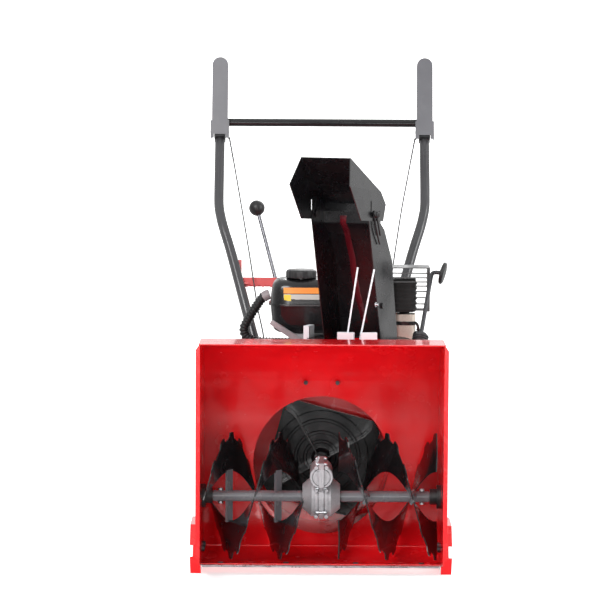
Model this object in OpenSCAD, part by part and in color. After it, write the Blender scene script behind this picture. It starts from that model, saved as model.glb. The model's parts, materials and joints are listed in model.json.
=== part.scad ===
// Walk-behind two-stage snow blower, 22 inch class.
// Frame: +Z up, the intake faces -Y, the origin is on the ground under the middle of the machine.
// Depths in this file count from the front edges of the side plates towards the operator.

/* [Housing] */
// Width between the outer faces of the side plates
housing_w = 550; // [540:1:560]
// Height of the housing's top lip above the ground
housing_h = 547; // [545:1:560]
// Depth of the housing's back wall behind the side plates' front edges
back_d = 310; // [308:1:312]
// Thickness of the housing steel
sheet_t = 2.5; // [2:0.1:3]
// Inner radius of the impeller drum
drum_r = 159; // [158:1:160]
// Depth of the drum's back plate
drum_back_d = 446; // [444:1:448]

/* [Auger and impeller] */
// Tip radius of the auger flights
auger_r = 146; // [140:1:148]
// Inner radius of the auger ribbons
ribbon_r = 56; // [54:1:58]
// Pitch of the auger ribbons
auger_pitch = 224; // [222:1:226]
// Height of the auger axis
auger_z = 182; // [181:1:183]
// Depth of the auger axis
auger_d = 155; // [154:1:156]
// Height of the impeller axis
impeller_z = 235; // [235:1:236]
// Tip radius of the impeller
impeller_r = 152; // [140:1:154]
// Radius of the auger shaft and the impeller shaft
shaft_r = 9.5; // [9.5:0.1:9.6]

/* [Chute] */
// Sideways place of the chute's turning axis
chute_x = 88; // [86:1:90]
// Depth of the chute's turning axis
chute_d = 378; // [377:1:380]
// Height of the fixed collar's flange
collar_z = 514; // [513:1:515]
// Width of the chute channel
chute_w = 146; // [144:1:148]
// Turn of the chute at rest, towards the machine's -X side
chute_yaw = 24; // [20:1:28]
// Tip radius of the chute's ring gear
ring_r = 122; // [120:1:122]

/* [Drive and wheels] */
// Radius of the tyres
wheel_r = 165; // [160:1:165]
// Width of the tyres
wheel_w = 100; // [90:1:100]
// Distance from the middle to each tyre's inner side
wheel_in = 165; // [160:1:170]
// Depth of the wheel axle
axle_d = 640; // [638:1:642]
// Half width of the tractor frame
frame_x = 130; // [128:1:132]

/* [Engine] */
// Height of the engine deck
deck_z = 335; // [334:1:336]
// Height of the crankshaft
crank_z = 430; // [428:1:432]
// Lowest point of the fuel tank
tank_z = 517; // [516:1:518]
// Height of the fuel tank
tank_h = 134; // [130:1:136]

/* [Handles] */
// Half distance between the two handle tubes at the grips
handle_x = 260; // [258:1:262]
// Radius of the handle tubes
handle_r = 12.5; // [12:0.1:12.5]
// Lean of the grips, back from upright
grip_lean = 26; // [25:0.5:27]

/* [Hidden] */
$fn = 48;

half_len = 518;
plate_in = housing_w / 2 - sheet_t;
fit = 0.3;
drum_t = 2.2;
duct_r = 64;
top_r = 200;
floor_r = back_d - auger_d;
floor_z = auger_z - floor_r;
gear_gap = impeller_z - auger_z;
wheel_gear_r = gear_gap - 13;
chute_base_z = collar_z + 3.4;
skid_bolts = [172, 224];
skid_bolt_z = 57;
pivot_y = -92;
pivot_z = 821;
crank_top = [262, 470, 672];
crank_dir = [-30.5, -98, -152];
fork_x = 20;
lever_rest = 12;
lever_foot = [-111.5, 811, 612];
lever_tip = [-164, 870, 801.6];
grip_z = 1000;
grip_d = 947.4;
drive_z = 255;
drive_shaft_d = 611.5;
red = [0.80, 0.02, 0.03];
black = [0.08, 0.08, 0.09];
steel = [0.62, 0.63, 0.65];
alloy = [0.72, 0.72, 0.74];

// Side profile of the housing sheet: top, back and floor, as [depth, height]
function arc(cx, cy, r, from, to, steps) =
    [for (i = [0:steps]) let(a = from + (to - from) * i / steps) [cx + r * cos(a), cy + r * sin(a)]];
top_z = housing_h - sheet_t / 2;
sheet_path = concat(
    [[0, top_z]],
    arc(back_d - top_r, top_z - top_r, top_r, 90, 0, 14),
    arc(auger_d, auger_z, floor_r, 0, -90, 12),
    [[auger_d - 18, floor_z]]
);

// Routes of bent tubes and cables, as [x, depth, height]
handle_route = [
    [handle_x, 1019.7, 1148.3], [handle_x, grip_d, grip_z], [handle_x, 858, 816], [handle_x - 4, 842, 790],
    [handle_x - 16, 822, 750], [handle_x - 95, 700, 484], [148, 664, 400], [144.5, 650, 372],
    [144.5, 640, 250]
];
cable_left = [
    [-233, 926, 960], [-215, 880, 872], [-182, 790, 698], [-159, 700, 571], [-143, 640, 505],
    [-130, 680, 410], [-118, 700, 365], [-118, 700, 336]
];
cable_right = [
    [233, 926, 960], [215, 880, 874], [197, 838, 780], [165, 730, 590], [143, 700, 498],
    [130, 690, 410], [118, 700, 365], [118, 700, 336]
];
hose_route = [
    [-135, 600, 604], [-145, 600, 597], [-164, 600, 570], [-180, 600, 543], [-189, 600, 523],
    [-184, 597, 505], [-168, 592, 495], [-148, 588, 491], [-71, 585, 490]
];
lead_route = [
    [231, 545, 530], [239, 543, 522], [243, 540, 502], [241, 545, 482], [235, 553, 467], [231, 557, 461]
];

function unit(v) = v / norm(v);
function tangent(p, i) = unit(p[min(i + 1, len(p) - 1)] - p[max(i - 1, 0)]);
function place(p) = [p[0], p[1] - half_len, p[2]];

// A band of thickness t that follows a path of [u, v] points
function side_point(p, i, off) =
    let(t = tangent(p, i), a = i == 0 ? t : unit(p[i] - p[i - 1]))
    let(c = i == len(p) - 1 ? t : unit(p[i + 1] - p[i]))
    let(na = [-a[1], a[0]], nc = [-c[1], c[0]], m = unit(na + nc))
    p[i] + m * off / max(0.3, m * na);
function band(p, t) = concat(
    [for (i = [0:len(p) - 1]) side_point(p, i, t / 2)],
    [for (i = [len(p) - 1:-1:0]) side_point(p, i, -t / 2)]
);

// A closed tube of the given number of sides swept along a route of [x, depth, height] points
module swept(route, r, sides, ref = [1, 0, 0]) {
    p = [for (q = route) place(q)];
    rings = [for (i = [0:len(p) - 1]) let(t = tangent(p, i), u = unit(cross(t, ref)), v = cross(t, u))
        for (k = [0:sides - 1]) p[i] + r * (u * cos(360 * k / sides) + v * sin(360 * k / sides))];
    last = len(p) - 1;
    faces = concat(
        [[for (k = [0:sides - 1]) k]],
        [for (i = [0:last - 1]) for (k = [0:sides - 1])
            let(a = i * sides + k, b = i * sides + (k + 1) % sides)
            [a, a + sides, b + sides, b]],
        [[for (k = [sides - 1:-1:0]) last * sides + k]]
    );
    polyhedron(points = rings, faces = faces, convexity = 6);
}

// A round bar, or a tube when bore is given, from point a to point b
module bar(a, b, r, bore = 0) {
    p = place(a);
    d = place(b) - p;
    translate(p)
        rotate([0, acos(d[2] / norm(d)), atan2(d[1], d[0])])
            difference() {
                cylinder(h = norm(d), r = r);
                if (bore > 0) translate([0, 0, -1]) cylinder(h = norm(d) + 2, r = bore);
            }
}

// A profile in [depth, height] stretched along X from x0 to x1
module across(x0, x1, profile) {
    translate([x0, -half_len, 0])
        rotate([90, 0, 90])
            linear_extrude(height = x1 - x0) polygon(profile);
}

// A box from corner to corner, with depths instead of Y
module block(x, d, z) {
    translate([x[0], d[0] - half_len, z[0]]) cube([x[1] - x[0], d[1] - d[0], z[1] - z[0]]);
}

// A cylinder along the machine's depth
module along_depth(x, z, d0, d1, r) {
    translate([x, d0 - half_len, z]) rotate([-90, 0, 0]) cylinder(h = d1 - d0, r = r);
}

// A cylinder along X
module along_x(x0, x1, d, z, r) {
    translate([x0, d - half_len, z]) rotate([0, 90, 0]) cylinder(h = x1 - x0, r = r);
}

// ---- Housing ----

module housing_sheet() {
    color(red)
        difference() {
            across(-plate_in, plate_in, band(sheet_path, sheet_t));
            along_depth(0, impeller_z, back_d - 90, back_d + 20, drum_r);
            for (x = [-37, 37]) along_depth(x, 428, back_d - 40, back_d + 20, 4.2);
            for (x = [-230, -80, 80, 230]) translate([x, 145 - half_len, 0]) cylinder(h = 60, r = 3.7);
        }
}

module side_plate(side) {
    flange_w = 9.5;
    outline = concat(
        [[0, 60], [0, housing_h - 3], [3, housing_h]],
        arc(back_d - top_r, top_z - top_r, top_r + 1.2, 90, 0, 14),
        arc(auger_d, auger_z, floor_r + 1.2, 0, -90, 12),
        [[124, floor_z - 1.2], [7, 48]]
    );
    color(red)
        mirror([side > 0 ? 0 : 1, 0, 0])
            difference() {
                union() {
                    across(plate_in, housing_w / 2, outline);
                    translate([plate_in, sheet_t - half_len, 0]) rotate([90, 0, 0])
                        linear_extrude(height = sheet_t)
                            polygon([[0, 62], [6, 62], [flange_w, 69], [flange_w, housing_h - 14],
                                [2, housing_h - 3], [0, housing_h - 3]]);
                }
                along_x(-300, 300, auger_d, auger_z, 13);
                for (d = skid_bolts) along_x(-300, 300, d, skid_bolt_z, 4.3);
                for (a = [90, 210, 330])
                    along_x(-300, 300, auger_d + 21 * cos(a), auger_z + 21 * sin(a), 3.1);
            }
}

module side_plate_left() { side_plate(-1); }
module side_plate_right() { side_plate(1); }

module impeller_drum() {
    core = concat([[-50, top_z - 12], [-50, top_z + 1.3]],
        arc(back_d - top_r, top_z - top_r, top_r + 1.3, 90, 0, 14),
        arc(auger_d, auger_z, floor_r + 1.3, 0, -90, 12), [[-50, floor_z]]);
    color(red)
        difference() {
            union() {
                along_depth(0, impeller_z, 225, drum_back_d, drum_r + drum_t);
                translate([chute_x, chute_d - half_len, impeller_z])
                    cylinder(h = collar_z + 3 - impeller_z, r = duct_r);
                translate([chute_x, chute_d - half_len, collar_z]) cylinder(h = 3, r = ring_r - 4);
                block([150, 244], [325, 384], [474, 478]);
                block([148, 162], [338, 384], [440, 478]);
            }
            along_depth(0, impeller_z, 200, drum_back_d - sheet_t, drum_r);
            translate([chute_x, chute_d - half_len, impeller_z]) cylinder(h = 400, r = duct_r - 2);
            across(-400, 400, core);
            along_depth(0, impeller_z, drum_back_d - 10, drum_back_d + 10, 20);
            crank_axis_hole();
            for (a = [-105, -81, 160])
                translate([chute_x + 110 * cos(a), chute_d - half_len + 110 * sin(a), 500])
                    cylinder(h = 30, r = 2.6);
        }
}

module scraper_bar() {
    color(steel)
        difference() {
            block([-plate_in + 0.5, plate_in - 0.5], [124, 172], [floor_z - 5.5, floor_z - 1.4]);
            for (x = [-230, -80, 80, 230]) translate([x, 145 - half_len, 0]) cylinder(h = 60, r = 3.6);
        }
}

module skid_shoe(side) {
    top = 114;
    rise = 43;
    web_x = housing_w / 2 + fit;
    outer_x = 300;
    lower = [[132, rise], [162, 1.5], [272, 1.5], [302, rise]];
    upper = [for (p = lower) [p[0], top - p[1]]];
    web = concat(lower, [for (k = [3:-1:0]) upper[k]]);
    color(red)
        mirror([side > 0 ? 0 : 1, 0, 0])
            difference() {
                union() {
                    across(web_x, outer_x, band(lower, 3));
                    across(web_x, outer_x, band(upper, 3));
                    across(web_x, web_x + 3, web);
                }
                for (d = skid_bolts)
                    block([250, 290], [d - 4.4, d + 4.4], [skid_bolt_z - 15, skid_bolt_z + 15]);
            }
}

module skid_shoe_left() { skid_shoe(-1); }
module skid_shoe_right() { skid_shoe(1); }

module housing_bolts() {
    color(steel) {
        for (side = [-1, 1]) for (d = skid_bolts) mirror([side > 0 ? 0 : 1, 0, 0]) {
            along_x(plate_in - 5.5, housing_w / 2 + 9.5, d, skid_bolt_z, 4);
            along_x(housing_w / 2 + 3.5, housing_w / 2 + 9.5, d, skid_bolt_z, 7.5);
            along_x(plate_in - 5, plate_in - 0.1, d, skid_bolt_z, 7.5);
        }
        for (x = [-37, 37]) {
            along_depth(x, 428, back_d - 34, back_d + 8, 4);
            along_depth(x, 428, 279, 287, 4.8);
        }
        for (x = [-230, -80, 80, 230]) {
            translate([x, 145 - half_len, floor_z - 8]) cylinder(h = 10.5, r = 3.5);
            translate([x, 145 - half_len, floor_z + 1.5]) cylinder(h = 1.6, r = 6.5);
        }
    }
}

module auger_bearings() {
    color(black)
        for (side = [-1, 1]) mirror([side > 0 ? 0 : 1, 0, 0])
            difference() {
                union() {
                    along_x(plate_in - 8, plate_in, auger_d, auger_z, 27);
                    along_x(plate_in - 24, plate_in, auger_d, auger_z, 18);
                    along_x(plate_in - 1, housing_w / 2 + 3, auger_d, auger_z, 12.9);
                }
                along_x(200, 300, auger_d, auger_z, shaft_r + 0.06);
                for (a = [90, 210, 330])
                    along_x(200, 300, auger_d + 21 * cos(a), auger_z + 21 * sin(a), 3.1);
            }
}

module impeller_bearing() {
    color(steel)
        difference() {
            union() {
                along_depth(0, impeller_z, drum_back_d - 12, drum_back_d + 6, 19.9);
                along_depth(0, impeller_z, drum_back_d, drum_back_d + 4, 34);
            }
            along_depth(0, impeller_z, drum_back_d - 40, drum_back_d + 40, shaft_r + 0.06);
        }
}

// ---- Auger gearbox ----

module gearbox_body() {
    difference() {
        union() {
            translate([0, auger_d - half_len, auger_z])
                rotate([0, 90, 0])
                    rotate_extrude()
                        polygon([[0, -43], [28, -43], [46, -22], [46, 22], [28, 43], [0, 43]]);
            along_depth(0, impeller_z, 97, 214, 26);
            along_depth(0, impeller_z, 92, 222, 19);
            across(-5.5, 5.5, concat(
                arc(auger_d, auger_z, 53, -200, 20, 16),
                [[222, impeller_z - 14], [222, impeller_z + 14], [212, impeller_z + 31],
                 [94, impeller_z + 31], [84, impeller_z + 18], [84, impeller_z - 22]]
            ));
        }
        along_x(-17, 17, auger_d, auger_z, wheel_gear_r + 2);
        along_depth(0, impeller_z, 100, 208, 14);
        along_depth(0, impeller_z, 93.6, 240, shaft_r + 0.06);
        along_x(-60, 60, auger_d, auger_z, shaft_r + 0.06);
        gearbox_bolt_places() {
            along_x(-30, 30, 0, 0, 3.1);
            along_x(5.55, 40, 0, 0, 5.6);
            along_x(-40, -5.55, 0, 0, 5.6);
        }
    }
}

module gearbox_bolt_places() {
    for (q = [[110, impeller_z + 27], [200, impeller_z + 27], [101, 208], [209, 208], [112, 151], [198, 151]])
        translate([0, q[0], q[1]]) children();
}

module gearbox_half_right() {
    color(alloy) intersection() {
        gearbox_body();
        block([0.05, 60], [60, 260], [100, 300]);
    }
}

module gearbox_half_left() {
    color(alloy) intersection() {
        gearbox_body();
        block([-60, -0.05], [60, 260], [100, 300]);
    }
}

module gearbox_bolts() {
    color(steel)
        gearbox_bolt_places() {
            along_x(-13, 13, 0, 0, 3);
            along_x(5.6, 11, 0, 0, 5);
            along_x(-11, -5.6, 0, 0, 5);
        }
}

// ---- Auger ----

module auger_shaft() {
    color(steel)
        difference() {
            along_x(-housing_w / 2 - 6, housing_w / 2 + 6, auger_d, auger_z, shaft_r);
            shear_pin_places() cylinder(h = 60, r = 3.1, center = true);
        }
}

module shear_pin_places() {
    for (x = [-230, 230]) translate([x, auger_d - half_len, auger_z]) children();
}

module shear_pins() {
    color(steel)
        shear_pin_places() {
            cylinder(h = 36, r = 3, center = true);
            translate([0, 0, 13.2]) cylinder(h = 4.5, r = 6, $fn = 6);
            translate([0, 0, -17.7]) cylinder(h = 4.5, r = 6, $fn = 6);
        }
}

module worm_wheel() {
    teeth = 20;
    color([0.72, 0.53, 0.25])
        difference() {
            along_x(-11, 11, auger_d, auger_z, wheel_gear_r);
            along_x(-20, 20, auger_d, auger_z, shaft_r + 0.02);
            for (k = [0:teeth - 1])
                translate([0, auger_d - half_len, auger_z])
                    rotate([360 * (k + 0.5) / teeth, 0, 0])
                        translate([-12, -2.6, wheel_gear_r - 4]) cube([24, 5.2, 8]);
        }
}

module auger_tubes() {
    color(black)
        for (side = [-1, 1]) mirror([side > 0 ? 0 : 1, 0, 0])
            difference() {
                union() {
                    along_x(45, 247, auger_d, auger_z, 13);
                    for (x = side > 0 ? [102, 209] : [99, 211]) cross_arm(x, side > 0 ? 0 : 90);
                }
                along_x(40, 260, auger_d, auger_z, shaft_r + 0.3);
                shear_pin_places() cylinder(h = 60, r = 3.2, center = true);
            }
}

// One helical ribbon with a toothed rim, wound round X from x0, its start turned by turn0
module ribbon(x0, turns, hand, turn0) {
    steps = 36;
    total = round(steps * turns);
    t = 1.6;
    rings = [for (i = [0:total]) let(
            a = turn0 + hand * 360 * i / steps,
            x = x0 + auger_pitch * i / steps,
            rim = (i % 3 == 2) ? auger_r - 15 : auger_r)
        for (c = [[ribbon_r, -t], [rim, -t], [rim, t], [ribbon_r, t]])
            [x + c[1], auger_d - half_len + c[0] * cos(a), auger_z + c[0] * sin(a)]];
    flip = hand > 0;
    sides = [for (i = [0:total - 1]) for (k = [0:3]) let(a = i * 4 + k, b = i * 4 + (k + 1) % 4)
        for (f = [[a, b, b + 4], [a, b + 4, a + 4]]) flip ? [f[0], f[2], f[1]] : f];
    ends = [for (f = [[3, 2, 1, 0], [total * 4, total * 4 + 1, total * 4 + 2, total * 4 + 3]])
        flip ? [f[3], f[2], f[1], f[0]] : f];
    polyhedron(points = rings, faces = concat(sides, ends), convexity = 10);
}

// The flat arm that carries two ribbons on their tube, at x, turned by a
module cross_arm(x, a) {
    reach = ribbon_r + 4;
    translate([x, auger_d - half_len, auger_z])
        rotate([a, 0, 0])
            rotate([0, 35, 0])
                translate([-2.5, -reach, -11]) cube([5, 2 * reach, 22]);
}

module auger_flights_right() {
    color(black) for (turn0 = [80, -92]) ribbon(40, 1, 1, turn0);
}

module auger_flights_left() {
    color(black) mirror([1, 0, 0]) for (turn0 = [-5, 175]) ribbon(40, 1, 1, turn0);
}

// ---- Impeller ----

module impeller_shaft() {
    color(steel) {
        along_depth(0, impeller_z, 94, 480, shaft_r);
        for (k = [0:6]) along_depth(0, impeller_z, 132 + 7 * k, 135 + 7 * k, 12.4);
    }
}

module impeller() {
    color(black)
        difference() {
            union() {
                along_depth(0, impeller_z, 334, 420, 18);
                intersection() {
                    along_depth(0, impeller_z, 405, 408, impeller_r);
                    translate([0, 400 - half_len, impeller_z])
                        rotate([0, 15, 0]) translate([-118, 0, -118]) cube([236, 20, 236]);
                }
                for (k = [0:3])
                    translate([0, 0, impeller_z]) rotate([0, 15 + 45 + 90 * k, 0])
                        translate([15, 335 - half_len, -1.5]) cube([impeller_r - 17, 71, 3]);
            }
            along_depth(0, impeller_z, 300, 450, shaft_r + 0.02);
        }
}

module grooved_pulley(z, d0, width, r, bore) {
    translate([0, d0 - half_len, z])
        rotate([-90, 0, 0])
            rotate_extrude()
                polygon([[bore, 0], [r, 0], [r, 2], [r - 12, 6], [r - 12, width - 6], [r, width - 2],
                    [r, width], [bore, width]]);
}

module impeller_pulley() {
    color(steel) grooved_pulley(impeller_z, 456, 18, 90, shaft_r + 0.02);
}

// ---- Chute ----

module in_chute() {
    translate([chute_x, chute_d - half_len, 0]) rotate([0, 0, -chute_yaw]) children();
}

// A [y, z] profile in the chute's own frame, stretched from x0 to x1
module chute_slab(x0, x1, profile) {
    translate([x0, 0, 0]) rotate([90, 0, 90]) linear_extrude(height = x1 - x0) polygon(profile);
}

module chute_keepers() {
    color([0.93, 0.94, 0.95])
        for (a = [-105, -81, 160])
            translate([chute_x, chute_d - half_len, 0]) rotate([0, 0, a])
                difference() {
                    union() {
                        translate([103, -19, 507]) cube([30, 38, 6.7]);
                        translate([ring_r + 2.2, -19, 507]) cube([130.8 - ring_r, 38, 42]);
                        translate([ring_r - 2.5, -19, 521]) cube([132.5 - ring_r + 3, 38, 28]);
                    }
                    translate([110, 0, 500]) cylinder(h = 30, r = 2.6);
                }
}

module chute() {
    teeth = 36;
    half = chute_w / 2;
    t = 2.2;
    side = [[-40, chute_base_z + 3], [60, chute_base_z + 3], [37.6, 627], [23.6, 708], [-24, 782], [-48, 799],
        [-47, 820], [-51, 838], [-67, 858], [-92, 860], [-104, 834], [-118, 808], [-105, 760], [-88, 697]];
    back = [[59, chute_base_z + 3], [36.5, 627], [22.5, 708], [-25, 781.5], [-49, 798.5], [-49, 824]];
    color(black)
        in_chute() {
            difference() {
                translate([0, 0, chute_base_z]) cylinder(h = 3, r = ring_r);
                translate([0, 0, chute_base_z - 1]) cylinder(h = 6, r = duct_r - 1);
                for (k = [0:teeth - 1]) rotate([0, 0, 360 * (k + 0.5) / teeth])
                    translate([ring_r - 6, -3.5, chute_base_z - 1]) cube([10, 7, 6]);
            }
            for (x = [-half, half - t])
                difference() {
                    chute_slab(x, x + t, side);
                    translate([-100, pivot_y, pivot_z]) rotate([0, 90, 0]) cylinder(h = 200, r = 4.06);
                }
            chute_slab(-half + t, half - t, band(back, t));
            for (x = [-1, 1]) translate([x * (half + 2), -37, 606]) rotate([0, 90, 0])
                cylinder(h = 4.4, r = 7, center = true);
        }
}

module nylon_ties() {
    color([0.95, 0.95, 0.94]) {
        bar([56, 270, chute_base_z + 3], [82, 270, 699], 2);
        bar([86, 266, chute_base_z + 3], [120, 266, 695], 2);
        block([52, 60], [266, 274], [chute_base_z + 3, chute_base_z + 9]);
        block([82, 90], [262, 270], [chute_base_z + 3, chute_base_z + 9]);
    }
}

module deflector() {
    t = 2.2;
    half = chute_w / 2 + 0.5;
    brim = half + t - 14;
    back = [[-40, 804], [-25, 842], [-55, 873]];
    tip = [-236, 894];
    front = [-202, 956];
    side = concat(back, [tip, [-170, 812]]);
    color(black)
        in_chute()
            difference() {
                union() {
                    for (x = [-half - t, half]) chute_slab(x, x + t, side);
                    chute_slab(-half - t, half + t, band(back, t));
                    translate([0, back[2][0], back[2][1] - t])
                        rotate([-atan2(front[1] - back[2][1], back[2][0] - front[0]), 0, 0])
                            linear_extrude(t)
                                polygon([[half + t, 0], [-half - t, 0], [-brim, -norm(front - back[2])],
                                    [brim, -norm(front - back[2])]]);
                    for (s = [-1, 1])
                        hull() {
                            translate([s * (half + t / 2), back[2][0], back[2][1] - t])
                                sphere(t / 2, $fn = 8);
                            translate([s * (brim - t / 2), front[0], front[1] - t / 2])
                                sphere(t / 2, $fn = 8);
                            translate([s * (half + t / 2), tip[0], tip[1]]) sphere(t / 2, $fn = 8);
                        }
                }
                translate([-100, pivot_y, pivot_z]) rotate([0, 90, 0]) cylinder(h = 200, r = 4.2);
                translate([-100, -116, 830]) cube([200, 7, 24]);
            }
}

module deflector_nuts() {
    half = chute_w / 2 + 2.8;
    color(black)
        in_chute()
            for (side = [-1, 1]) mirror([side > 0 ? 0 : 1, 0, 0]) translate([0, pivot_y, pivot_z]) {
                translate([66, 0, 0]) rotate([0, 90, 0]) cylinder(h = half + 14 - 66, r = 4);
                translate([66, 0, 0]) rotate([0, 90, 0]) cylinder(h = 4, r = 8);
                translate([half + 0.2, 0, 0]) rotate([0, 90, 0]) cylinder(h = 8, r = 8);
                translate([half + 1, -18, -2]) cube([9, 36, 4]);
            }
}

module crank_axis_hole() { bar(crank_top + crank_dir * 1.1, crank_top + crank_dir * 1.4, 5.1); }

module chute_crank() {
    color([0.45, 0.46, 0.48]) {
        bar(crank_top, crank_top + crank_dir * 1.34, 5);
        bar(crank_top + crank_dir * 0.91, crank_top + crank_dir * 1.08, 20);
        bar([257, 470, 673], [285.8, 470, 671.8], 7);
    }
}

module crank_knob() {
    color(black)
        difference() {
            bar([281.3, 470.8, 672.5], [293, 468.4, 669.6], 27);
            bar([257, 470, 673], [286, 470, 671.8], 7.06);
        }
}

// ---- Tractor frame and drive ----

module tractor_frame() {
    color(black)
        difference() {
            union() {
                block([-frame_x, -frame_x + 2.5], [drum_back_d, 760], [120, deck_z]);
                block([frame_x - 2.5, frame_x], [drum_back_d, 760], [120, deck_z]);
                block([-frame_x, frame_x], [515, 760], [deck_z - 2.5, deck_z]);
                block([-frame_x, frame_x], [757.5, 760], [120, deck_z]);
                block([-frame_x, frame_x], [515, 517.5], [120, deck_z]);
            }
            along_x(-200, 200, axle_d, 165, shaft_r + 0.06);
            along_x(-200, 200, drive_shaft_d, drive_z, 8.06);
            along_depth(0, drive_z, 500, 530, 8.06);
        }
}

module belt_cover() {
    color(black)
        difference() {
            block([-112, 112], [drum_back_d + 4, 512], [deck_z - 5, 500]);
            block([-109.5, 109.5], [drum_back_d + 6.5, 509.5], [deck_z - 20, 497.5]);
            along_depth(0, crank_z, 500, 520, 20);
        }
}

module belt_loop(d0, r_low, z_low) {
    translate([0, d0 + 5.4 - half_len, 0]) rotate([90, 0, 0]) linear_extrude(height = 5.4)
        difference() {
            hull() { translate([0, crank_z]) circle(r = 37); translate([0, z_low]) circle(r = r_low - 1); }
            hull() { translate([0, crank_z]) circle(r = 29); translate([0, z_low]) circle(r = r_low - 9); }
        }
}

module auger_belt() {
    color([0.1, 0.1, 0.1]) {
        belt_loop(462.3, 90, impeller_z);
        belt_loop(489.3, 50, drive_z);
    }
}

module engine_pulley() {
    color(steel) {
        grooved_pulley(crank_z, 456, 18, 38, 0.0);
        grooved_pulley(crank_z, 483, 18, 38, 0.0);
        along_depth(0, crank_z, 453, 538, 12);
    }
}

module drive_disc() {
    color(alloy) {
        along_depth(0, drive_z, 484, 549, 8);
        grooved_pulley(drive_z, 483, 18, 50, 0.0);
        along_depth(0, drive_z, 545, 551, 72);
    }
}

module shift_fork() {
    color(steel)
        difference() {
            union() {
                block([fork_x - 14, fork_x - 11], [598, 625], [186, 276]);
                block([fork_x + 11, fork_x + 14], [598, 625], [186, 276]);
                block([fork_x - 14, fork_x + 14], [598, 625], [186, 190]);
            }
            along_x(-60, 100, drive_shaft_d, drive_z, 8.4);
        }
}

module friction_wheel() {
    color([0.12, 0.12, 0.12])
        difference() {
            union() {
                along_x(fork_x - 6, fork_x + 6, drive_shaft_d, drive_z, 60);
                along_x(fork_x - 10.5, fork_x + 10.5, drive_shaft_d, drive_z, 20);
            }
            along_x(-60, 100, drive_shaft_d, drive_z, 8.06);
        }
}

module drive_shaft() {
    color(steel) {
        along_x(-frame_x - 5, frame_x + 5, drive_shaft_d, drive_z, 8);
        along_x(94, 108, drive_shaft_d, drive_z, 19.5);
    }
}

module axle() {
    teeth = 36;
    color(steel) {
        along_x(-wheel_in - wheel_w - 1, wheel_in + wheel_w + 1, axle_d, 165, shaft_r);
        difference() {
            along_x(96, 106, axle_d, 165, 74);
            for (k = [0:teeth - 1]) translate([0, axle_d - half_len, 165]) rotate([360 * k / teeth, 0, 0])
                translate([95, -2.5, 69]) cube([12, 5, 8]);
        }
    }
}

module wheel_ring(side, profile) {
    mirror([side > 0 ? 0 : 1, 0, 0])
        translate([wheel_in, axle_d - half_len, 165]) rotate([0, 90, 0])
            rotate_extrude($fn = 96) polygon(profile);
}

module tyres() {
    w = wheel_w;
    r = wheel_r;
    color([0.07, 0.07, 0.07])
        for (side = [-1, 1])
            wheel_ring(side, [[78, 12], [84, 8], [110, 2], [132, 0], [150, 5], [160, 14],
                [r, 26], [r, w - 26],
                [160, w - 14], [150, w - 5], [132, w], [110, w - 2], [84, w - 8], [78, w - 12]]);
}

module wheel_rims() {
    w = wheel_w;
    color([0.85, 0.85, 0.83])
        for (side = [-1, 1])
            wheel_ring(side, [[shaft_r + 0.02, 4], [20, 4], [20, 40], [62, 46], [72, 12],
                [77.7, 12], [77.7, w - 12],
                [72, w - 12], [62, 54], [20, 60], [20, w - 4], [shaft_r + 0.02, w - 4]]);
}

// ---- Engine ----

function round_rect(x0, x1, y0, y1, r) = concat(
    arc(x1 - r, y1 - r, r, 0, 90, 6), arc(x0 + r, y1 - r, r, 90, 180, 6),
    arc(x0 + r, y0 + r, r, 180, 270, 6), arc(x1 - r, y0 + r, r, 270, 360, 6)
);

module rounded(x, d, z, r) {
    translate([0, -half_len, z[0]])
        linear_extrude(height = z[1] - z[0]) polygon(round_rect(x[0], x[1], d[0], d[1], r));
}

module engine_block() {
    color(alloy)
        difference() {
            union() {
                rounded([-88, 90], [515, 678], [deck_z, 470], 18);
                rounded([-70, 70], [515, 660], [470, 510], 14);
                block([-60, -40], [530, 640], [510, tank_z]);
                block([40, 60], [530, 640], [510, tank_z]);
                translate([0, 506 - half_len, 0]) rotate([90, 0, 0]) linear_extrude(height = 12)
                    polygon([[-125, 544], [-119, 554], [-52, 512], [-52, 500.5], [-62, 500.5]]);
                block([-70, -52], [494, 516], [500.5, 510]);
            }
            along_depth(0, crank_z, 500, 545, 12.06);
        }
}

module cylinder_head() {
    color([0.70, 0.66, 0.60]) {
        block([90.3, 196], [540, 606], [395, 492]);
        for (x = [98:9:190]) block([x, x + 2.5], [528, 618], [383, 504]);
        block([190, 226], [532, 612], [388, 500]);
        rounded([178, 226], [524, 576], [499, 566], 10);
    }
}

module recoil_cover() {
    color(black)
        difference() {
            union() {
                along_depth(0, crank_z, 678.3, 722, 94);
                along_depth(0, crank_z, 722, 736, 78);
            }
            for (k = [0:11]) translate([0, 700 - half_len, crank_z]) rotate([0, 30 * k, 0])
                translate([40, 0, -4]) cube([30, 60, 8]);
        }
}

module recoil_handle() {
    color(black) {
        along_depth(60, 486, 736.3, 748, 5);
        along_x(38, 82, 754, 486, 7);
    }
}

module fuel_tank() {
    x = [-129, 92];
    d = [508, 660];
    seam = tank_z + 69;
    top = tank_z + tank_h;
    color(black) {
        rounded([x[0] + 8, x[1] - 8], [d[0] + 6, d[1] - 6], [tank_z, seam - 14], 26);
        rounded([x[0] + 4, x[1] - 4], [d[0] + 3, d[1] - 3], [seam - 14, seam], 28);
        rounded(x, d, [seam, seam + 4], 30);
        rounded([x[0] + 4, x[1] - 4], [d[0] + 3, d[1] - 3], [seam + 4, top - 18], 28);
        rounded([x[0] + 10, x[1] - 10], [d[0] + 9, d[1] - 9], [top - 18, top - 7], 26);
        rounded([x[0] + 22, x[1] - 22], [d[0] + 20, d[1] - 20], [top - 7, top], 22);
        translate([-50, 560 - half_len, top - 1]) cylinder(h = 9, r = 20.9);
    }
}

module fuel_cap() {
    top = tank_z + tank_h;
    color(black)
        difference() {
            translate([-50, 560 - half_len, top + 0.3]) cylinder(h = 21, r = 37);
            translate([-50, 560 - half_len, top - 1]) cylinder(h = 12, r = 21);
        }
}

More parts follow.
